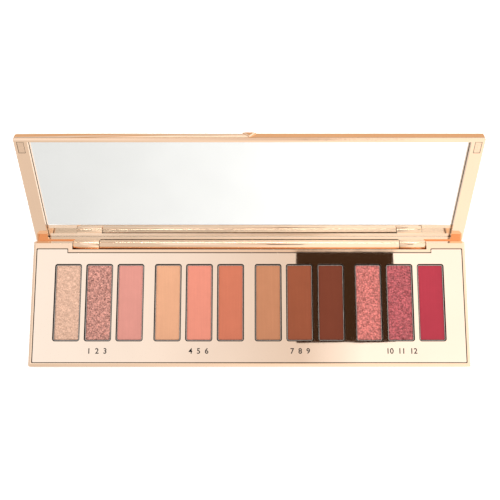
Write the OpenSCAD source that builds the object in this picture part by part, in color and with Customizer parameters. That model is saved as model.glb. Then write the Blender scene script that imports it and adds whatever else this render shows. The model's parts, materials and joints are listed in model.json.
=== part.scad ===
// Slim twelve-shade powder palette with a hinged mirror lid.
// The origin is at the bottom centre of the base. X runs to the right, Y to the hinge, Z up.
// The lid is modelled closed and then swung open about the hinge axis.

/* [Palette] */
// Width of base and lid
palette_w = 200; // [198:0.5:206]
// Depth of base and lid, from the front to the hinge side
palette_d = 57.7; // [57:0.1:62]
// Height of the base, up to its rim
base_h = 9; // [8.9:0.1:10]
// Radius of the upright corners
corner_r = 0.8; // [0.4:0.1:1.2]
// How far the lid is open: 0 is shut, and 129 is fully open
lid_angle = 129; // [0:1:129]

/* [Base] */
// Width of the bevel along the rim
bevel_w = 1.2; // [0.6:0.1:1.4]
// Height of the bevel along the rim
bevel_h = 1.5; // [0.6:0.1:2]
// Chamfer along the bottom edge
foot_chamfer = 0.4; // [0.2:0.1:0.8]
// Thickness of the floor
floor_t = 1.2; // [0.8:0.1:1.6]
// Width of the ledge that the pan plate lies on
ledge_w = 1; // [0.6:0.1:1.4]

/* [Pan plate] */
// Margin from the sides of the base to the plate
plate_side_margin = 2.1; // [1.9:0.1:3]
// Margin from the front of the base to the plate
plate_front_margin = 2; // [1.8:0.1:3]
// Margin from the back of the base to the plate, beside the hinge
plate_ear_margin = 4; // [3.8:0.1:4.4]
// Margin from the back of the base to the plate, in front of the hinge
plate_hinge_margin = 5.8; // [5.6:0.1:6.4]
// Thickness of the plate
plate_t = 1.2; // [0.8:0.1:1.4]
// How far the plate lies below the rim
plate_drop = 0.2; // [0.1:0.05:0.4]
// Gap between the plate and the base
plate_gap = 0.35; // [0.2:0.05:0.4]
// Thickness of the walls and floors of the wells
well_wall = 0.8; // [0.6:0.1:1]

/* [Pans] */
// Number of groups of pans
groups = 4; // [4]
// Number of pans in a group
pans_in_group = 3; // [3]
// Distance from one group to the next
group_pitch = 45.9; // [45:0.1:46.5]
// Distance from one pan to the next in a group
pan_pitch = 14.35; // [14:0.05:14.6]
// Width of the window over a pan
window_w = 12.35; // [12:0.05:12.6]
// Length of the window over a pan
window_l = 35.5; // [34:0.1:36]
// Distance from the back of the base to the windows
window_back = 10.85; // [10.6:0.05:12]
// Corner radius of the windows
window_r = 1.2; // [0.8:0.1:1.6]
// Gap between a pan and its well
pan_gap = 0.38; // [0.2:0.02:0.5]
// Height of a pan
pan_h = 3; // [2.6:0.1:3.2]
// Thickness of the pan's sheet metal
pan_t = 0.3; // [0.2:0.05:0.4]
// How far the pan's rim lies below the plate
pan_drop = 0.65; // [0.3:0.05:0.8]
// Thickness of the glue under a pan
glue_t = 0.15; // [0.1:0.05:0.2]

/* [Lid] */
// Height from the base's rim to the top of the shut lid
lid_h = 5.5; // [5.4:0.1:5.6]
// Gap between the base's rim and the shut lid
lid_gap = 0.15; // [0.1:0.05:0.2]
// How much smaller the lid is at its outer face, on each side
lid_draft = 0.43; // [0.2:0.01:0.6]
// Chamfer round the lid's outer face
lid_chamfer = 0.3; // [0.1:0.1:0.5]
// Chamfer round the mirror frame's front and side edges
frame_chamfer = 0.7; // [0.3:0.1:0.9]
// Chamfer along the mirror frame's hinge edge
hinge_chamfer = 0.3; // [0.25:0.05:0.4]
// Thickness of the mirror frame
frame_t = 1.2; // [1:0.1:1.4]
// Width of the shadow line between frame and cover
seam = 0.15; // [0.05:0.05:0.2]
// Thickness of the cover's skin
cover_t = 1.8; // [1.5:0.1:2]
// Thickness of the cover's side walls
cover_wall = 0.8; // [0.6:0.1:0.9]

/* [Mirror] */
// Width of the side rails beside the mirror
rail_side = 6; // [5.6:0.1:6.4]
// Width of the rail at the lid's free edge
rail_free = 1.6; // [1.5:0.1:1.8]
// Width of the rail at the hinge
rail_hinge = 2.5; // [2.3:0.1:3]
// Depth of the seat behind the frame that the glass lies on
seat_h = 0.4; // [0.3:0.1:0.5]
// Width of that seat
seat_w = 0.5; // [0.45:0.01:0.55]
// Thickness of the mirror glass
glass_t = 1; // [0.9:0.1:1.2]
// How far the glass reaches behind the frame
glass_lap = 0.4; // [0.3:0.05:0.45]

/* [Hinge] */
// Distance from the back of the base to the hinge axis
axis_inset = 1.5; // [1.45:0.01:1.5]
// Distance from the base's rim down to the hinge axis
axis_drop = 2.85; // [2.85:0.05:2.9]
// Radius of barrel and knuckles
barrel_r = 2.35; // [2.2:0.05:2.35]
// Radius of the hinge pins
pin_r = 0.75; // [0.6:0.05:0.8]
// Running clearance of the pins in the knuckles
pin_clearance = 0.05; // [0.02:0.01:0.08]
// Distance from the middle of the palette to the ears
ear_x = 81.8; // [80:0.1:83]
// Length of a knuckle
knuckle_l = 11.8; // [10:0.1:13]
// Gap at each end of a knuckle
knuckle_gap = 0.3; // [0.2:0.05:0.4]
// Depth of the hinge recess, from the base's rim
recess_drop = 5.7; // [5.7:0.05:5.8]
// Width of the hinge recess, from the back of the base
recess_d = 4.1; // [4.1:0.05:4.3]

/* [Catch] */
// Width of the thumb catch at the lid's outer face
catch_w = 5.8; // [4:0.1:8]
// How far the catch stands out of the lid's free edge
catch_proud = 0.45; // [0.3:0.05:0.6]
// Distance from the middle of the palette to the magnets
magnet_x = 97; // [96.8:0.1:97]
// Distance from the back of the base to the magnets
magnet_back = 53.4; // [53:0.1:53.5]
// Gap round a lid magnet
lid_magnet_gap = 0.15; // [0.05:0.05:0.2]
// Size of a lid magnet
lid_magnet = [2.7, 5.3, 2];
// Size of a base magnet
base_magnet = [2, 4.8, 2];

/* [Hidden] */
$fn = 48;
eps = 0.01;
far = 300;
y_back = palette_d / 2;
y_front = -palette_d / 2;
plate_top = base_h - plate_drop;
plate_bottom = plate_top - plate_t;
plate_half_w = palette_w / 2 - plate_side_margin;
plate_notch_x = ear_x + 2.2;
window_y = y_back - window_back - window_l / 2;
pan_top = plate_top - pan_drop;
pan_bottom = pan_top - pan_h;
well_bottom = pan_bottom - glue_t;
pan_w = window_w - 2 * pan_gap;
pan_l = window_l - 2 * pan_gap;
pan_r = window_r - pan_gap;
powder_w = pan_w - 2 * pan_t;
powder_l = pan_l - 2 * pan_t;
powder_drop = 0.05;
group_w = (pans_in_group - 1) * pan_pitch + window_w + 2 * well_wall;
rib_w = 2;
rib_l = 30;
boss_w = 4.4;
boss_d = 7.4;
cup_wall = 0.5;
magnet_gap = 0.05;
axis_y = y_back - axis_inset;
axis_z = base_h - axis_drop;
knuckle_x = ear_x - knuckle_gap - knuckle_l / 2;
barrel_half_l = knuckle_x - knuckle_l / 2 - knuckle_gap;
pin_in_barrel = 6;
pin_end_gap = 0.4;
pin_in = barrel_half_l - pin_in_barrel;
pin_l = palette_w / 2 - pin_end_gap - pin_in;
lid_bottom = base_h + lid_gap;
lid_top = base_h + lid_h;
frame_top = lid_bottom + frame_t;
cover_bottom = frame_top + seam;
glass_bottom = frame_top + seat_h;
glass_w = palette_w - 2 * rail_side + 2 * glass_lap;
glass_front = y_front + rail_free - glass_lap;
glass_back = y_back - rail_hinge + glass_lap;
glass_y = (glass_front + glass_back) / 2;
glass_l = glass_back - glass_front;
tape_t = lid_top - cover_t - glass_bottom - glass_t;
tape_margin = 6;
rib_gap = 0.1;
rib_t = 0.8;
rib_h = 1.8;
catch_root = 0.1;
catch_taper = 0.7;

pan_count = groups * pans_in_group;

rose_gold = [0.90, 0.68, 0.54];
bright_gold = [0.97, 0.85, 0.74];
steel = [0.75, 0.75, 0.77];
silver = [0.86, 0.86, 0.88];
tin = [0.80, 0.80, 0.80];
shade_colours = [[0.94, 0.76, 0.65], [0.86, 0.60, 0.54], [0.90, 0.61, 0.56],
                 [0.93, 0.69, 0.54], [0.94, 0.59, 0.50], [0.84, 0.49, 0.38],
                 [0.80, 0.54, 0.40], [0.63, 0.35, 0.24], [0.49, 0.25, 0.17],
                 [0.88, 0.50, 0.46], [0.79, 0.38, 0.40], [0.75, 0.26, 0.32]];

// ---- Shapes that several pieces share ----

// A flat rectangle with rounded corners, centred
module rounded_rect(w, d, r) {
    square([w - 2 * r, d], center = true);
    square([w, d - 2 * r], center = true);
    for (x = [-1, 1], y = [-1, 1])
        translate([x * (w / 2 - r), y * (d / 2 - r)]) circle(r = r);
}

// A block on z = 0 with rounded upright corners
module rounded_block(w, d, h, r) {
    linear_extrude(h) rounded_rect(w, d, r);
}

// Extrudes an outline drawn as [y, z] along X
module along_x(length) {
    rotate([90, 0, 90]) linear_extrude(length, center = true) children();
}

// Extrudes an outline drawn as [x, z] along Y
module along_y(length) {
    rotate([90, 0, 0]) linear_extrude(length, center = true) children();
}

// Side view of the base: a box with a bevelled rim and a small foot chamfer
module base_profile(width) {
    half = width / 2;
    side = [[half - foot_chamfer, 0], [half, foot_chamfer],
            [half, base_h - bevel_h], [half - bevel_w, base_h]];
    mirrored = [for (i = [3:-1:0]) [-side[i][0], side[i][1]]];
    polygon(concat(side, mirrored));
}

// One side of the lid: its lower edge is chamfered, and its wall leans in towards the outer face
function lid_side(half, chamfer) =
    let (lean = lid_draft * (1 - lid_chamfer / (lid_top - lid_bottom)))
    [[half - chamfer, lid_bottom], [half, lid_bottom + chamfer],
     [half - lean, lid_top - lid_chamfer], [half - lid_draft - lid_chamfer, lid_top]];

// Side view of the lid. Its right side, which is at the hinge along X, has a chamfer of its own.
module lid_profile(width, right_chamfer) {
    left = lid_side(width / 2, frame_chamfer);
    mirrored = [for (i = [len(left) - 1:-1:0]) [-left[i][0], left[i][1]]];
    polygon(concat(lid_side(width / 2, right_chamfer), mirrored));
}

// A horizontal cylinder on the hinge axis, from one x to another
module on_axis(from_x, to_x, r) {
    translate([from_x, axis_y, axis_z]) rotate([0, 90, 0]) cylinder(r = r, h = to_x - from_x);
}

// Both sides of the palette, the left one mirrored
module both_sides() {
    children();
    mirror([1, 0, 0]) children();
}

// Swings the shut lid open about the hinge axis
module opened() {
    translate([0, axis_y, axis_z]) rotate([-lid_angle, 0, 0])
        translate([0, -axis_y, -axis_z]) children();
}

// Pan i counts from the left, from 0
function pan_x(i) = (floor(i / pans_in_group) - (groups - 1) / 2) * group_pitch
    + (i % pans_in_group - (pans_in_group - 1) / 2) * pan_pitch;

// ---- Base ----

// The plate's outline, with its two tongues beside the hinge
module plate_outline(grow) {
    front = y_front + plate_front_margin - grow;
    back = y_back - plate_hinge_margin + grow;
    ear_back = y_back - plate_ear_margin + grow;
    side = plate_half_w + grow;
    tongue_w = side - plate_notch_x + grow;
    translate([0, (front + back) / 2]) rounded_rect(2 * side, back - front, corner_r);
    for (x = [-1, 1]) translate([x * (side - tongue_w / 2), (front + ear_back) / 2])
        rounded_rect(tongue_w, ear_back - front, corner_r / 2);
}

module base_body() {
    intersection() {
        rounded_block(palette_w, palette_d, base_h, corner_r);
        along_x(far) base_profile(palette_d);
        along_y(far) base_profile(palette_w);
    }
}

// The space under the ledge, less the bosses of the two magnets
module base_cavity() {
    side = plate_half_w + plate_gap - ledge_w;
    front = y_front + plate_front_margin - plate_gap + ledge_w;
    back = y_back - plate_hinge_margin + plate_gap - ledge_w;
    difference() {
        translate([-side, front, floor_t]) cube([2 * side, back - front, base_h]);
        both_sides() translate([side - boss_w, front - eps, 0]) cube([far, boss_d, plate_bottom]);
    }
}

module magnet_pocket(size) {
    translate([magnet_x, y_back - magnet_back, plate_bottom - size[2] / 2 - magnet_gap])
        cube([size[0] + 2 * magnet_gap, size[1] + 2 * magnet_gap, size[2] + 2 * magnet_gap + eps],
             center = true);
}

// Ribs on the floor that the wells stand on
module floor_ribs() {
    for (g = [0:groups - 1], x = [-1, 1])
        translate([(g - (groups - 1) / 2) * group_pitch + x * pan_pitch, window_y,
                   (floor_t - eps + well_bottom - well_wall) / 2])
            cube([rib_w, rib_l, well_bottom - well_wall - floor_t + eps], center = true);
}

module hinge_recess() {
    translate([-ear_x, y_back - recess_d, base_h - recess_drop])
        cube([2 * ear_x, far, far]);
}

// The long barrel between the knuckles, on a web that joins it to the recess
module centre_barrel() {
    on_axis(-barrel_half_l, barrel_half_l, barrel_r);
    translate([-barrel_half_l, y_back - recess_d - eps, base_h - recess_drop - eps])
        cube([2 * barrel_half_l, recess_d - axis_inset + eps, recess_drop - axis_drop + eps]);
}

module base_shell() {
    color(rose_gold) difference() {
        union() {
            difference() {
                base_body();
                translate([0, 0, plate_bottom]) linear_extrude(base_h) plate_outline(plate_gap);
                base_cavity();
                hinge_recess();
            }
            floor_ribs();
            centre_barrel();
        }
        both_sides() magnet_pocket(base_magnet);
        both_sides() on_axis(pin_in, palette_w / 2 + eps, pin_r);
    }
}

module pan_plate() {
    color(bright_gold) difference() {
        union() {
            translate([0, 0, plate_bottom]) linear_extrude(plate_t) plate_outline(0);
            for (g = [0:groups - 1])
                translate([(g - (groups - 1) / 2) * group_pitch, window_y, well_bottom - well_wall])
                    rounded_block(group_w, window_l + 2 * well_wall,
                                  plate_bottom - well_bottom + well_wall + eps, window_r + well_wall);
        }
        for (i = [0:pan_count - 1])
            translate([pan_x(i), window_y, well_bottom])
                rounded_block(window_w, window_l, base_h, window_r);
    }
}

// A stamped tray of sheet metal
module pan(i) {
    color(tin) translate([pan_x(i), window_y, pan_bottom]) difference() {
        rounded_block(pan_w, pan_l, pan_h, pan_r);
        translate([0, 0, pan_t]) rounded_block(powder_w, powder_l, pan_h, pan_r - pan_t);
    }
}

// The pressed powder that fills a pan
module shade(i) {
    color(shade_colours[i]) translate([pan_x(i), window_y, pan_bottom + pan_t])
        rounded_block(powder_w, powder_l, pan_h - pan_t - powder_drop, pan_r - pan_t);
}

// Two spots of glue under each pan
module pan_adhesive() {
    color("white") for (i = [0:pan_count - 1], y = [-1, 1])
        translate([pan_x(i), window_y + y * window_l / 4, well_bottom])
            cylinder(r = window_w / 4, h = glue_t);
}

module base_magnet() {
    color(steel) translate([magnet_x, y_back - magnet_back, plate_bottom - base_magnet[2] / 2 - magnet_gap])
        cube(base_magnet, center = true);
}

module hinge_pin() {
    color(steel) on_axis(pin_in, pin_in + pin_l, pin_r);
}

// ---- Lid, drawn shut ----

module lid_body() {
    intersection() {
        rounded_block(palette_w, palette_d, far, corner_r);
        along_x(far) lid_profile(palette_d, hinge_chamfer);
        along_y(far) lid_profile(palette_w, frame_chamfer);
    }
}

// A triangle on the cover's free edge with sloping sides, wide at the outer face
module thumb_catch() {
    height = lid_top - lid_chamfer - cover_bottom;
    triangle = [[-catch_w / 2, height / 3], [0, -height * 2 / 3], [catch_w / 2, height / 3]];
    translate([0, y_front, cover_bottom + height * 2 / 3]) rotate([90, 0, 0]) {
        translate([0, 0, -lid_draft - catch_root])
            linear_extrude(lid_draft + 2 * catch_root) polygon(triangle);
        translate([0, 0, catch_root])
            linear_extrude(catch_proud - catch_root, scale = catch_taper) polygon(triangle);
    }
}

module lid_cover() {
    wall = cover_wall + lid_draft / 2;
    color(rose_gold) opened() union() {
        difference() {
            lid_body();
            translate([-far / 2, -far / 2, 0]) cube([far, far, cover_bottom]);
            translate([0, 0, cover_bottom - eps])
                rounded_block(palette_w - 2 * wall, palette_d - 2 * wall,
                              lid_top - cover_t - cover_bottom + eps, corner_r / 2);
        }
        thumb_catch();
    }
}

// A knuckle and the web that joins it to the frame
module knuckle() {
    on_axis(knuckle_x - knuckle_l / 2, knuckle_x + knuckle_l / 2, barrel_r);
    translate([knuckle_x - knuckle_l / 2, y_back - rail_hinge, axis_z])
        cube([knuckle_l, rail_hinge - hinge_chamfer, lid_bottom - axis_z + eps]);
}

// The cup behind the frame that holds a lid magnet
module magnet_cup() {
    cup_h = lid_magnet[2] + cup_wall - frame_t;
    translate([magnet_x, y_back - magnet_back, frame_top + cup_h / 2])
        cube([lid_magnet[0] + 2 * cup_wall, lid_magnet[1] + 2 * cup_wall, cup_h + eps], center = true);
}

// The seat behind the frame that the glass lies on
module glass_seat() {
    lap = glass_lap - seat_w;
    translate([0, glass_y, frame_top - eps]) linear_extrude(seat_h + eps)
        square([glass_w - 2 * lap, glass_l - 2 * lap], center = true);
}

// Ribs behind the frame that keep the glass in place
module glass_ribs() {
    inner = glass_w / 2 + rib_gap;
    translate([inner, glass_y - rib_l / 2, frame_top - eps]) cube([rib_t, rib_l, rib_h]);
    translate([rib_l / 2, glass_back + rib_gap, frame_top - eps]) cube([rib_l, rib_t, rib_h]);
}

module mirror_frame() {
    window_w = palette_w - 2 * rail_side;
    front = y_front + rail_free;
    back = y_back - rail_hinge;
    color(rose_gold) opened() difference() {
        union() {
            intersection() {
                lid_body();
                translate([-far / 2, -far / 2, 0]) cube([far, far, frame_top]);
            }
            both_sides() knuckle();
            both_sides() magnet_cup();
            both_sides() glass_ribs();
            glass_seat();
        }
        translate([-window_w / 2, front, lid_bottom - eps])
            cube([window_w, back - front, frame_t + seat_h + 2 * eps]);
        both_sides() translate([magnet_x, y_back - magnet_back, lid_bottom + lid_magnet[2] / 2])
            cube([lid_magnet[0] + 2 * lid_magnet_gap, lid_magnet[1] + 2 * lid_magnet_gap,
                  lid_magnet[2] + 2 * magnet_gap], center = true);
        both_sides() on_axis(0, palette_w / 2, pin_r + pin_clearance);
    }
}

module mirror_glass() {
    color(silver) opened() translate([-glass_w / 2, glass_front, glass_bottom])
        cube([glass_w, glass_l, glass_t]);
}

module mirror_tape() {
    color("dimgray") opened() translate([0, glass_y, glass_bottom + glass_t])
        rounded_block(glass_w - 2 * tape_margin, glass_l - 2 * tape_margin, tape_t, window_r);
}

module lid_magnet() {
    color(steel) opened() translate([magnet_x, y_back - magnet_back, lid_bottom + lid_magnet[2] / 2])
        cube(lid_magnet, center = true);
}

base_shell();
pan_plate();
pan_adhesive();
pan(0);  // pan_01
pan(1);  // pan_02
pan(2);  // pan_03
pan(3);  // pan_04
pan(4);  // pan_05
pan(5);  // pan_06
pan(6);  // pan_07
pan(7);  // pan_08
pan(8);  // pan_09
pan(9);  // pan_10
pan(10);  // pan_11
pan(11);  // pan_12
shade(0);  // shade_01
shade(1);  // shade_02
shade(2);  // shade_03
shade(3);  // shade_04
shade(4);  // shade_05
shade(5);  // shade_06
shade(6);  // shade_07
shade(7);  // shade_08
shade(8);  // shade_09
shade(9);  // shade_10
shade(10);  // shade_11
shade(11);  // shade_12
mirror([1, 0, 0]) base_magnet();  // base_magnet_left
base_magnet();  // base_magnet_right
mirror([1, 0, 0]) hinge_pin();  // hinge_pin_left
hinge_pin();  // hinge_pin_right
lid_cover();
mirror_frame();
mirror_glass();  // mirror
mirror_tape();
mirror([1, 0, 0]) lid_magnet();  // lid_magnet_left
lid_magnet();  // lid_magnet_right
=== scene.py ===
"""The looks of a slim twelve-shade powder palette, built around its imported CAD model.

Everything is in metres in the row frame: X to the right, Y to the hinge, Z up.
"""

import json
import math

import bmesh
import bpy
from mathutils import Matrix, Vector, noise


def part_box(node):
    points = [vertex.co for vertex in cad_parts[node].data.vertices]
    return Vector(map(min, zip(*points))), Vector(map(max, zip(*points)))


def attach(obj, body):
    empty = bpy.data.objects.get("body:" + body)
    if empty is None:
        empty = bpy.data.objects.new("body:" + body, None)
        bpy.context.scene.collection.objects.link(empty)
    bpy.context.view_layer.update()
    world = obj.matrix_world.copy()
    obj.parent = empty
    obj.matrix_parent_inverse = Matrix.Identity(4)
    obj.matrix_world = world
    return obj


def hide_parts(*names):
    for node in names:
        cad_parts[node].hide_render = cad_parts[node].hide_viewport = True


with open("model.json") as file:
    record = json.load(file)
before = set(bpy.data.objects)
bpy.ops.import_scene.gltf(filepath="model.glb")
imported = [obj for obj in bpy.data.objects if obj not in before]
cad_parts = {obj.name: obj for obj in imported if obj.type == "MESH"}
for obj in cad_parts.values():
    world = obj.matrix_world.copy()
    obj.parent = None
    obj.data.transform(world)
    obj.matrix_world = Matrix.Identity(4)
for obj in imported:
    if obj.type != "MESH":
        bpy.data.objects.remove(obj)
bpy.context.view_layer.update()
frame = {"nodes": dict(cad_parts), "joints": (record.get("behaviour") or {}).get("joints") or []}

MM = 0.001
NODES = frame["nodes"]
HINGE = next(j for j in frame["joints"] if j["name"] == "lid_hinge")
BASE_LOW, BASE_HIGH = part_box("base_shell")
PLATE_LOW, PLATE_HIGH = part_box("pan_plate")
RIM_Z = BASE_HIGH.z
BACK_Y = -BASE_LOW.y

# ---- Nodes and materials ----


def new_material(name):
    """A node material, its tree and its shader."""
    made = bpy.data.materials.new(name)
    made.use_nodes = True
    return made, made.node_tree, made.node_tree.nodes["Principled BSDF"]


def feed(tree, target, value):
    """Links the value into the target if it is a socket, and sets it otherwise."""
    if isinstance(value, bpy.types.NodeSocket):
        tree.links.new(value, target)
    else:
        target.default_value = value


def node(tree, kind, inputs=None, **settings):
    """A node with those settings and inputs."""
    made = tree.nodes.new(kind)
    for key, value in settings.items():
        setattr(made, key, value)
    for key, value in (inputs or {}).items():
        feed(tree, made.inputs[key], value)
    return made


def object_coordinates(tree):
    """Where a point lies on its own object, so that the pattern moves with the piece."""
    return node(tree, "ShaderNodeTexCoord").outputs["Object"]


def noise_of(tree, where, scale, detail=2.0):
    """Smooth noise; scale is in waves per metre."""
    inputs = {"Vector": where, "Scale": scale, "Detail": detail, "Roughness": 0.5}
    return node(tree, "ShaderNodeTexNoise", inputs).outputs["Fac"]


def spread(tree, value, low, high):
    """Noise, which keeps to about 0.3 to 0.7, spread over low to high."""
    inputs = {"Value": value, "From Min": 0.3, "From Max": 0.7, "To Min": low, "To Max": high}
    return node(tree, "ShaderNodeMapRange", inputs).outputs["Result"]


# Places of a Mix node's colour sockets, which share their names with its other sockets.
MIX_SHARE = 0
MIX_FIRST = 6
MIX_SECOND = 7
MIX_RESULT = 2


def mixed(tree, share, first, second):
    """Two colours mixed by a share from 0 to 1."""
    made = node(tree, "ShaderNodeMix", data_type="RGBA")
    for place, value in ((MIX_SHARE, share), (MIX_FIRST, first), (MIX_SECOND, second)):
        feed(tree, made.inputs[place], value)
    return made.outputs[MIX_RESULT]


def srgb(red, green, blue):
    """A colour given as 0 to 255 screen values, as the linear RGBA that shaders take."""
    linear = [((c / 255 + 0.055) / 1.055) ** 2.4 for c in (red, green, blue)]
    return (*linear, 1.0)


def scaled(colour, factor):
    """The colour made lighter or darker by that factor, and never above 1."""
    return (*(min(1.0, c * factor) for c in colour[:3]), 1.0)


def add_bump(tree, shader, height, distance, strength):
    """Fine relief: the height, from 0 to 1, stands for that distance in metres."""
    bump = node(tree, "ShaderNodeBump", {"Height": height, "Distance": distance, "Strength": strength})
    tree.links.new(bump.outputs["Normal"], shader.inputs["Normal"])


def polished_metal(name, colour, roughness, wave_height, wave_scale=70.0):
    """A metal coating: a mirror finish with shallow waves and a faint haze."""
    made, tree, shader = new_material(name)
    where = object_coordinates(tree)
    wave = noise_of(tree, where, wave_scale)
    haze = noise_of(tree, where, 900.0, 4.0)
    tint = mixed(tree, spread(tree, noise_of(tree, where, 35.0), 0.0, 1.0), colour, scaled(colour, 0.96))
    tree.links.new(tint, shader.inputs["Base Color"])
    tree.links.new(spread(tree, haze, roughness * 0.7, roughness * 1.5), shader.inputs["Roughness"])
    add_bump(tree, shader, wave, wave_height, 1.0)
    shader.inputs["Metallic"].default_value = 1.0
    return made


def sheet_metal(name, colour, roughness, grain_scale):
    """Stamped or drawn metal with fine grain along Y."""
    made, tree, shader = new_material(name)
    where = object_coordinates(tree)
    along = node(tree, "ShaderNodeMapping", {"Vector": where, "Scale": (1.0, 0.08, 1.0)}).outputs["Vector"]
    grain = noise_of(tree, along, grain_scale, 3.0)
    tree.links.new(mixed(tree, grain, colour, scaled(colour, 0.82)), shader.inputs["Base Color"])
    tree.links.new(spread(tree, grain, roughness * 0.7, roughness * 1.4), shader.inputs["Roughness"])
    add_bump(tree, shader, grain, 0.004 * MM, 0.5)
    shader.inputs["Metallic"].default_value = 1.0
    return made


def matte_powder(name, colour):
    """Pressed matte powder: soft mottling, faint press streaks and a fine chalky grain."""
    made, tree, shader = new_material(name)
    where = object_coordinates(tree)
    mottle = spread(tree, noise_of(tree, where, 180.0, 3.0), 0.0, 1.0)
    body = mixed(tree, mottle, scaled(colour, 0.96), scaled(colour, 1.04))
    streak_space = node(tree, "ShaderNodeMapping", {"Vector": where, "Scale": (1.0, 0.04, 1.0)})
    streaks = noise_of(tree, streak_space.outputs["Vector"], 1500.0)
    streaked = mixed(tree, spread(tree, streaks, 0.0, 0.5), body, scaled(colour, 0.88))
    grain = noise_of(tree, where, 5200.0, 3.0)
    grained = mixed(tree, spread(tree, grain, 0.0, 0.3), streaked, scaled(colour, 0.9))
    tree.links.new(grained, shader.inputs["Base Color"])
    add_bump(tree, shader, grain, 0.02 * MM, 0.6)
    shader.inputs["Roughness"].default_value = 0.88
    shader.inputs["Specular IOR Level"].default_value = 0.08
    shader.inputs["Sheen Weight"].default_value = 0.03
    shader.inputs["Sheen Roughness"].default_value = 0.6
    return made


def pearl_powder(name, colour, flake_size, dark, bright, shine):
    """Pressed pearl or glitter powder: flakes that lie at random, each lighter or darker than the next."""
    made, tree, shader = new_material(name)
    where = object_coordinates(tree)
    cells = {"Vector": where, "Scale": 1.0 / flake_size, "Randomness": 1.0}
    flakes = node(tree, "ShaderNodeTexVoronoi", cells)
    facing = node(tree, "ShaderNodeSeparateColor", {"Color": flakes.outputs["Color"]})
    patches = noise_of(tree, where, 0.35 / flake_size, 2.0)
    tone = mixed(tree, facing.outputs["Red"], scaled(colour, dark), scaled(colour, bright))
    body = mixed(tree, spread(tree, patches, 0.0, 0.5), tone, scaled(colour, dark))
    tree.links.new(body, shader.inputs["Base Color"])
    shine_range = {"From Min": 0.55, "From Max": 0.95, "To Min": 0.1, "To Max": shine}
    sparkle = node(tree, "ShaderNodeMapRange", {"Value": facing.outputs["Green"], **shine_range})
    tree.links.new(sparkle.outputs["Result"], shader.inputs["Metallic"])
    dull = node(tree, "ShaderNodeMapRange", {"Value": facing.outputs["Blue"], "To Min": 0.3, "To Max": 0.7})
    tree.links.new(dull.outputs["Result"], shader.inputs["Roughness"])
    add_bump(tree, shader, facing.outputs["Red"], 0.04 * MM, 0.8)
    return made


def clear_glass(name):
    """Float glass with a very faint ripple."""
    made, tree, shader = new_material(name)
    ripple = noise_of(tree, object_coordinates(tree), 25.0)
    add_bump(tree, shader, ripple, 0.002 * MM, 0.3)
    shader.inputs["Base Color"].default_value = (0.99, 1.0, 0.995, 1.0)
    shader.inputs["Roughness"].default_value = 0.0
    shader.inputs["IOR"].default_value = 1.5
    shader.inputs["Transmission Weight"].default_value = 1.0
    return made


def dull_plastic(name, colour, roughness, grain_scale, grain_height):
    """Painted gap shade, foam tape, glue and ink: a dull, slightly uneven surface."""
    made, tree, shader = new_material(name)
    grain = noise_of(tree, object_coordinates(tree), grain_scale, 3.0)
    tree.links.new(mixed(tree, grain, colour, scaled(colour, 0.7)), shader.inputs["Base Color"])
    add_bump(tree, shader, grain, grain_height, 0.6)
    shader.inputs["Roughness"].default_value = roughness
    return made


ROSE_GOLD = (0.93, 0.66, 0.47, 1.0)
PALE_GOLD = (0.95, 0.76, 0.61, 1.0)
rose_gold = polished_metal("rose_gold", ROSE_GOLD, 0.05, 0.010 * MM)
pale_gold = polished_metal("pale_gold", PALE_GOLD, 0.02, 0.028 * MM, 45.0)
# Painted shade: the pans' tin is darker and warmer than real tin, so their rims in the gaps read as shade.
shade_darkened_tinplate = sheet_metal("shade_darkened_tinplate", (0.50, 0.45, 0.41, 1.0), 0.22, 1800.0)
bright_steel = sheet_metal("bright_steel", (0.72, 0.72, 0.73, 1.0), 0.18, 2600.0)
nickel = sheet_metal("nickel", (0.88, 0.76, 0.66, 1.0), 0.2, 1500.0)
plated_magnet = sheet_metal("plated_magnet", ROSE_GOLD, 0.12, 1500.0)
silvering = polished_metal("silvering", (0.95, 0.95, 0.945, 1.0), 0.004, 0.0005 * MM, 20.0)
glass = clear_glass("mirror_glass")
foam = dull_plastic("foam", (0.2, 0.2, 0.2, 1.0), 0.9, 1500.0, 0.1 * MM)
glue = dull_plastic("glue", (0.85, 0.82, 0.7, 1.0), 0.4, 600.0, 0.05 * MM)
# Near-black painted shade for the insides of narrow gaps, not the colour of a real part.
gap_painted_shade = dull_plastic("gap_painted_shade", (0.035, 0.02, 0.012, 1.0), 0.6, 800.0, 0.01 * MM)
ink = dull_plastic("ink", (0.005, 0.0045, 0.004, 1.0), 0.8, 4000.0, 0.004 * MM)

# ---- CAD nodes: softened edges and their materials ----


WELD_DISTANCE = 0.001 * MM
FLAT_WITHIN = math.radians(0.5)
SHARP_ABOVE = math.radians(35)


def soften(piece, width):
    """Rounds a CAD node's sharp edges a little.

    On lid_cover and pan_plate it takes off no measurable volume.
    """
    weld = piece.modifiers.new("weld", "WELD")
    weld.merge_threshold = WELD_DISTANCE
    flat = piece.modifiers.new("flat", "DECIMATE")
    flat.decimate_type = "DISSOLVE"
    flat.angle_limit = FLAT_WITHIN
    flat.delimit = {"MATERIAL"}
    bevel = piece.modifiers.new("bevel", "BEVEL")
    bevel.width = width
    bevel.segments = 2
    bevel.limit_method = "ANGLE"
    bevel.angle_limit = SHARP_ABOVE
    bevel.harden_normals = True
    bevel.material = 0


def dress(name, material, edge=0.0):
    """Gives a CAD node its material and, where it shows, softened edges."""
    piece = NODES[name]
    piece.data.materials.clear()
    piece.data.materials.append(material)
    if edge:
        soften(piece, edge)


def opened_lid():
    """The matrix that swings the shut lid open to its rest pose."""
    axis_point = Matrix.Translation(HINGE["pos_m"])
    swing = Matrix.Rotation(-math.radians(HINGE["range_deg"][1]), 4, Vector(HINGE["axis"]))
    return axis_point @ swing @ axis_point.inverted()


TO_OPEN = opened_lid()
TO_SHUT = TO_OPEN.inverted()


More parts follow.
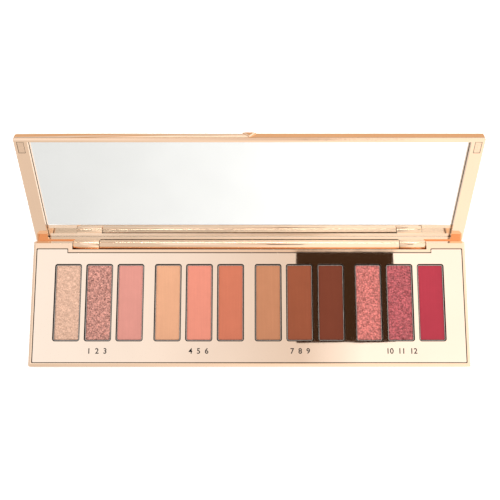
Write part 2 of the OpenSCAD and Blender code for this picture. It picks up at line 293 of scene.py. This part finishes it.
def shut_box(name):
    """(lowest corner, highest corner) of a lid node with the lid shut."""
    corners = [TO_SHUT @ v.co for v in NODES[name].data.vertices]
    low = Vector([min(c[i] for c in corners) for i in range(3)])
    high = Vector([max(c[i] for c in corners) for i in range(3)])
    return low, high


SIDES = ("left", "right")
MAGNET_BOXES = [shut_box(f"lid_magnet_{side}") for side in SIDES]
SHADED_GAP = 0.45 * MM


def paint_gap_shade(name, is_shaded):
    """Painted shade: the faces in narrow gaps that the given test picks get a near-black material for the
    shade that falls there.
    """
    mesh = NODES[name].data
    mesh.materials.append(gap_painted_shade)
    for face in mesh.polygons:
        corners = [mesh.vertices[i].co for i in face.vertices]
        if is_shaded(face, corners):
            face.material_index = 1


def within(corners, low, high, margin):
    """Whether every corner lies in the box, made larger by the margin on each side."""
    return all(low[i] - margin < c[i] < high[i] + margin for c in corners for i in range(3))


def faces_the_plate(face, corners):
    """Inner faces of the base, except the rim and the wall of the hinge recess."""
    low = Vector((PLATE_LOW.x, PLATE_LOW.y, BASE_LOW.z + SHADED_GAP))
    high = Vector((PLATE_HIGH.x, PLATE_HIGH.y, RIM_Z))
    on_rim = face.normal.z > 0.9 and face.center.z > PLATE_HIGH.z
    on_recess = face.normal.y > 0.5 and face.center.y > 0
    return within(corners, low, high, SHADED_GAP) and not on_rim and not on_recess


def under_the_plate(face, corners):
    """Every face of the plate but its top."""
    return min(c.z for c in corners) < PLATE_HIGH.z - 0.01 * MM


def in_magnet_pocket(face, corners):
    """The walls of the gap round each magnet of the lid."""
    shut = [TO_SHUT @ c for c in corners]
    return any(within(shut, low, high, SHADED_GAP / 2) for low, high in MAGNET_BOXES)


dress("base_shell", rose_gold, 0.12 * MM)
dress("lid_cover", rose_gold, 0.12 * MM)
dress("mirror_frame", rose_gold, 0.08 * MM)
dress("pan_plate", pale_gold, 0.4 * MM)
# Painted shade: near-black in the gaps round the plate, under the plate and round the lid's magnets.
paint_gap_shade("base_shell", faces_the_plate)
paint_gap_shade("pan_plate", under_the_plate)
paint_gap_shade("mirror_frame", in_magnet_pocket)
dress("pan_adhesive", glue)
dress("mirror", glass)
dress("mirror_tape", foam)
for side in SIDES:
    dress(f"hinge_pin_{side}", bright_steel, 0.1 * MM)
    dress(f"base_magnet_{side}", nickel, 0.1 * MM)
    dress(f"lid_magnet_{side}", plated_magnet, 0.1 * MM)
for count in range(1, 13):
    dress(f"pan_{count:02d}", shade_darkened_tinplate, 0.06 * MM)


def add_piece(mesh, name, material):
    """Puts a finished bmesh in the scene as a piece of that name."""
    data = bpy.data.meshes.new(name)
    mesh.to_mesh(data)
    mesh.free()
    data.materials.append(material)
    piece = bpy.data.objects.new(name, data)
    bpy.context.scene.collection.objects.link(piece)
    return piece


# ---- Pressed powders ----

CORNER_R = 0.75 * MM
POWDER_STEP = 0.35 * MM
EDGE_ROUND = 0.35 * MM
EDGE_SINK = 0.6
CROWN = 0.12 * MM
BUNCHING = 0.3


def bunched(step, steps):
    """From -1 to 1, in steps that get shorter towards both ends."""
    even = 2 * step / steps - 1
    return BUNCHING * math.sin(math.pi / 2 * even) + (1 - BUNCHING) * even


def powder_outline_half_width(y, half_w, half_l):
    """Half the width of a rounded rectangle at y."""
    past = abs(y) - (half_l - CORNER_R)
    if past <= 0:
        return half_w
    return half_w - CORNER_R + math.sqrt(max(0.0, CORNER_R**2 - past**2))


def powder_height(x, y, half_w, half_l, grain, grain_size, seed):
    """How far the surface lies from the pan's level: a low crown, rounded edges and loose grain."""
    crown = CROWN * (1 - (x / half_w) ** 2) * (1 - (y / half_l) ** 2)
    edge = min(half_w - abs(x), half_l - abs(y))
    sink = EDGE_ROUND * EDGE_SINK * max(0.0, 1 - edge / EDGE_ROUND) ** 2
    rough = grain * noise.noise(Vector((x, y, seed * MM)) / grain_size)
    return crown - sink + rough


def pressed_powder(name, material, grain, grain_size, seed):
    """A powder cake that fills its pan, with a crowned, slightly grainy top."""
    low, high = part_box(name)
    centre = (low + high) / 2
    half_w, half_l = (high.x - low.x) / 2, (high.y - low.y) / 2
    across, along = (round(2 * half / POWDER_STEP) for half in (half_w, half_l))
    mesh = bmesh.new()
    rows = []
    for j in range(along + 1):
        y = half_l * bunched(j, along)
        width = powder_outline_half_width(y, half_w, half_l)
        row = []
        for i in range(across + 1):
            x = width * bunched(i, across)
            z = powder_height(x, y, half_w, half_l, grain, grain_size, seed)
            row.append(mesh.verts.new((centre.x + x, centre.y + y, high.z + z)))
        rows.append(row)
    for back, front in zip(rows[1:], rows):
        for i in range(across):
            mesh.faces.new((front[i], front[i + 1], back[i + 1], back[i]))
    rim = rows[0] + [r[-1] for r in rows[1:-1]] + rows[-1][::-1] + [r[0] for r in rows[-2:0:-1]]
    foot = [mesh.verts.new((v.co.x, v.co.y, low.z)) for v in rim]
    for i, vertex in enumerate(rim):
        after = (i + 1) % len(rim)
        mesh.faces.new((vertex, foot[i], foot[after], rim[after]))
    mesh.faces.new(foot[::-1])
    for face in mesh.faces:
        face.smooth = True
    piece = add_piece(mesh, f"{name}_powder", material)
    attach(piece, "base")
    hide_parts(name)


POWDER_TONE = 0.7
MATTE = {"grain": 0.006 * MM, "grain_size": 0.9 * MM}
PEARL = {"grain": 0.02 * MM, "grain_size": 0.6 * MM}
PEARL_FLAKES = {"flake_size": 0.5 * MM, "dark": 0.74, "bright": 1.26, "shine": 0.5}
GLITTER = {"grain": 0.05 * MM, "grain_size": 0.55 * MM}
GLITTER_FLAKES = {"flake_size": 0.46 * MM, "dark": 0.42, "bright": 1.65, "shine": 0.7}


def powder_colour(red, green, blue):
    """The shade's own colour, darker than it looks under the bright studio light."""
    return scaled(srgb(red, green, blue), POWDER_TONE)


def matte(red, green, blue):
    """What makes the material of a matte powder, and its surface."""
    return lambda name: matte_powder(name, powder_colour(red, green, blue)), MATTE


def pearl(red, green, blue):
    """What makes the material of a pearl powder, and its surface."""
    colour = powder_colour(red, green, blue)
    return lambda name: pearl_powder(name, colour, **PEARL_FLAKES), PEARL


def glitter(red, green, blue):
    """What makes the material of a glitter powder, and its surface."""
    colour = powder_colour(red, green, blue)
    return lambda name: pearl_powder(name, colour, **GLITTER_FLAKES), GLITTER


SHADES = [
    pearl(239, 192, 165), glitter(217, 151, 136), matte(227, 154, 141),
    matte(235, 174, 137), matte(238, 149, 127), matte(213, 123, 95),
    matte(202, 137, 101), matte(158, 86, 59), matte(126, 63, 44),
    glitter(227, 127, 118), glitter(201, 96, 101), matte(192, 64, 79),
]
for count, (make, surface) in enumerate(SHADES, start=1):
    pressed_powder(f"shade_{count:02d}", make(f"powder_{count:02d}"), seed=count * 10, **surface)

# ---- Mirror silvering ----

SILVER_T = 0.03 * MM


def mirror_silvering():
    """The silver film, just inside the back of the glass."""
    low, high = shut_box("mirror")
    mesh = bmesh.new()
    centre = Vector(((low.x + high.x) / 2, (low.y + high.y) / 2, high.z - SILVER_T))
    size = (high.x - low.x - SILVER_T, high.y - low.y - SILVER_T, SILVER_T)
    bmesh.ops.create_cube(mesh, size=1.0, matrix=Matrix.Translation(centre) @ Matrix.Diagonal((*size, 1.0)))
    bmesh.ops.bevel(mesh, geom=list(mesh.edges), offset=SILVER_T / 4, segments=1, affect="EDGES")
    mesh.transform(TO_OPEN)
    piece = add_piece(mesh, "mirror_silvering", silvering)
    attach(piece, "lid")


mirror_silvering()

# ---- Numbers printed under the groups ----

FONT_SIZE = 3.45 * MM
INK_T = 0.02 * MM
INK_WELD = 0.0005 * MM
NUMBER_BOLD = 0.06 * MM
NUMBER_BELOW_PAN = 4.8 * MM
GROUPS = 4
GROUP_SIZE = 3


def printed_numbers():
    """The pans' numbers under each group, in black ink on the plate, as one piece."""
    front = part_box("pan_01")[0].y
    joined = bmesh.new()
    for group in range(GROUPS):
        first = group * GROUP_SIZE + 1
        low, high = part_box(f"pan_{first + 1:02d}")
        digits = bpy.data.curves.new(f"numbers_{group}", "FONT")
        digits.body = "  ".join(str(first + i) for i in range(GROUP_SIZE))
        digits.size = FONT_SIZE
        digits.extrude = INK_T / 2
        digits.offset = NUMBER_BOLD
        digits.align_x = "CENTER"
        digits.align_y = "CENTER"
        printed = bpy.data.objects.new(f"numbers_{group}", digits)
        centre = ((low.x + high.x) / 2, front - NUMBER_BELOW_PAN, PLATE_HIGH.z + INK_T / 2)
        part = bpy.data.meshes.new_from_object(printed)
        part.transform(Matrix.Translation(centre))
        joined.from_mesh(part)
        bpy.data.meshes.remove(part)
        bpy.data.objects.remove(printed)
    bmesh.ops.remove_doubles(joined, verts=joined.verts, dist=INK_WELD)
    piece = add_piece(joined, "shade_numbers", ink)
    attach(piece, "base")


printed_numbers()

# ---- Studio ----

FLOOR_SIZE = 8.0
FLOOR_GAP = 0.05 * MM
BLACK = (0.0, 0.0, 0.0, 1.0)
WARM_WHITE = (1.0, 0.99, 0.97, 1.0)
FLOOR_WHITE = (0.9, 0.9, 0.9, 1.0)
DARK = (0.03, 0.015, 0.008, 1.0)
BROWN = (0.38, 0.27, 0.18, 1.0)
WALL_STRENGTH = {"From Min": -0.3, "From Max": 0.3, "To Min": 0.86, "To Max": 1.36}
DARK_CARD = {"centre": (0.106, 0.060, 0.509), "size": (0.109, 0.102)}
BROWN_CARD = {"centre": (0, 0.42, 1 * MM), "size": (1.4, 0.46)}
CEILING_CARD = {"centre": (0, 0.12, 0.56), "size": (0.6, 0.5)}
CEILING_STOPS = [
    (0.0, (1.06, 1.12, 1.18, 1.0)),
    (0.28, (1.03, 1.04, 1.06, 1.0)),
    (0.5, (0.9, 0.85, 0.82, 1.0)),
    (0.6, (0.86, 0.78, 0.72, 1.0)),
    (0.72, (1.3, 1.28, 1.26, 1.0)),
    (1.0, (1.3, 1.28, 1.26, 1.0)),
]
BACK_STRIP = {"place": (0, 0.12, 0.14), "aim": (0, 0, 0), "size": (0.35, 0.03), "power": 0.34}


def flat_card(name, centre, size, material, turn=(0.0, 0.0, 0.0)):
    """A flat card of the studio, lying in XY before it is turned."""
    mesh = bmesh.new()
    bmesh.ops.create_grid(mesh, x_segments=1, y_segments=1, size=0.5)
    card = add_piece(mesh, name, material)
    card.scale = (*size, 1.0)
    card.location = centre
    card.rotation_euler = turn
    return card


def card_colour(name, colour, glow=0.0):
    """Plain card: matte, or glowing with its own colour."""
    made, _, shader = new_material(name)
    shader.inputs["Base Color"].default_value = colour
    shader.inputs["Roughness"].default_value = 0.9
    shader.inputs["Specular IOR Level"].default_value = 0.0
    shader.inputs["Emission Color"].default_value = colour
    shader.inputs["Emission Strength"].default_value = glow
    return made


def reflected_only(card):
    """The card shows in reflections, but neither to the camera nor as a shadow."""
    card.visible_camera = False
    card.visible_diffuse = False
    card.visible_shadow = False
    card.visible_transmission = False
    return card


def softbox(name, place, aim, size, power):
    """A soft lamp that lights the object but doesn't show in its reflections."""
    light = bpy.data.lights.new(name, "AREA")
    light.shape = "RECTANGLE"
    light.size, light.size_y = size
    light.energy = power
    lamp = bpy.data.objects.new(name, light)
    lamp.location = place
    lamp.rotation_euler = (Vector(aim) - Vector(place)).to_track_quat("-Z", "Y").to_euler()
    lamp.visible_glossy = False
    bpy.context.scene.collection.objects.link(lamp)


def ramp(tree, value, stops):
    """A colour ramp through (position, colour) stops."""
    made = node(tree, "ShaderNodeValToRGB", {"Fac": value})
    elements = made.color_ramp.elements
    for _ in stops[2:]:
        elements.new(0.5)
    for element, (place, colour) in zip(elements, stops):
        element.position = place
        element.color = colour
    return made.outputs["Color"]


def studio_walls():
    """Bright plain walls, a little brighter to the right."""
    world = bpy.data.worlds.new("studio")
    world.use_nodes = True
    tree = world.node_tree
    background = tree.nodes["Background"]
    where = node(tree, "ShaderNodeTexCoord").outputs["Generated"]
    across = node(tree, "ShaderNodeSeparateXYZ", {"Vector": where}).outputs["X"]
    side = {"Value": across, **WALL_STRENGTH}
    strength = node(tree, "ShaderNodeMapRange", side, interpolation_type="SMOOTHSTEP").outputs["Result"]
    tree.links.new(strength, background.inputs["Strength"])
    background.inputs["Color"].default_value = WARM_WHITE
    bpy.context.scene.world = world


def ceiling():
    """The overhead card that the plate reflects: white at the left, tan past the middle, then bright."""
    made, tree, shader = new_material("ceiling")
    place = node(tree, "ShaderNodeTexCoord").outputs["Generated"]
    across = node(tree, "ShaderNodeSeparateXYZ", {"Vector": place}).outputs["X"]
    tree.links.new(ramp(tree, across, CEILING_STOPS), shader.inputs["Emission Color"])
    shader.inputs["Emission Strength"].default_value = 1.0
    shader.inputs["Base Color"].default_value = BLACK
    reflected_only(flat_card("ceiling", material=made, turn=(math.pi, 0, 0), **CEILING_CARD))


def studio():
    """A pale floor, bright walls, one lamp, and three cards that only show in reflections."""
    white = card_colour("white_floor", FLOOR_WHITE, 0.4)
    floor = flat_card("floor", (0, 0, -FLOOR_GAP), (FLOOR_SIZE, FLOOR_SIZE), white)
    floor.visible_glossy = False
    reflected_only(flat_card("top_card", material=card_colour("dark_card", DARK, 0.4), **DARK_CARD))
    reflected_only(flat_card("back_card", material=card_colour("brown_card", BROWN, 1.0), **BROWN_CARD))
    studio_walls()
    ceiling()
    softbox("back_strip", **BACK_STRIP)


# The camera's place: to the side, in front of the base's back and above its rim.
EYE_ASIDE = 0.289 * MM
EYE_FORWARD = 65.894 * MM
EYE_ABOVE_RIM = 350.383 * MM
EYE_TILT = math.radians(9.957)
LENS = 55.473
SENSOR = 36.0
CLIP_START = 0.01


def camera():
    """The view from above the front edge, tilted towards the hinge."""
    lens_data = bpy.data.cameras.new("camera")
    lens_data.sensor_width = SENSOR
    lens_data.lens = LENS
    lens_data.clip_start = CLIP_START
    eye = bpy.data.objects.new("camera", lens_data)
    eye.location = (EYE_ASIDE, BACK_Y - EYE_FORWARD, RIM_Z + EYE_ABOVE_RIM)
    eye.rotation_euler = (EYE_TILT, 0, 0)
    bpy.context.scene.collection.objects.link(eye)
    bpy.context.scene.camera = eye


studio()
camera()
bpy.context.scene.view_settings.view_transform = "Standard"
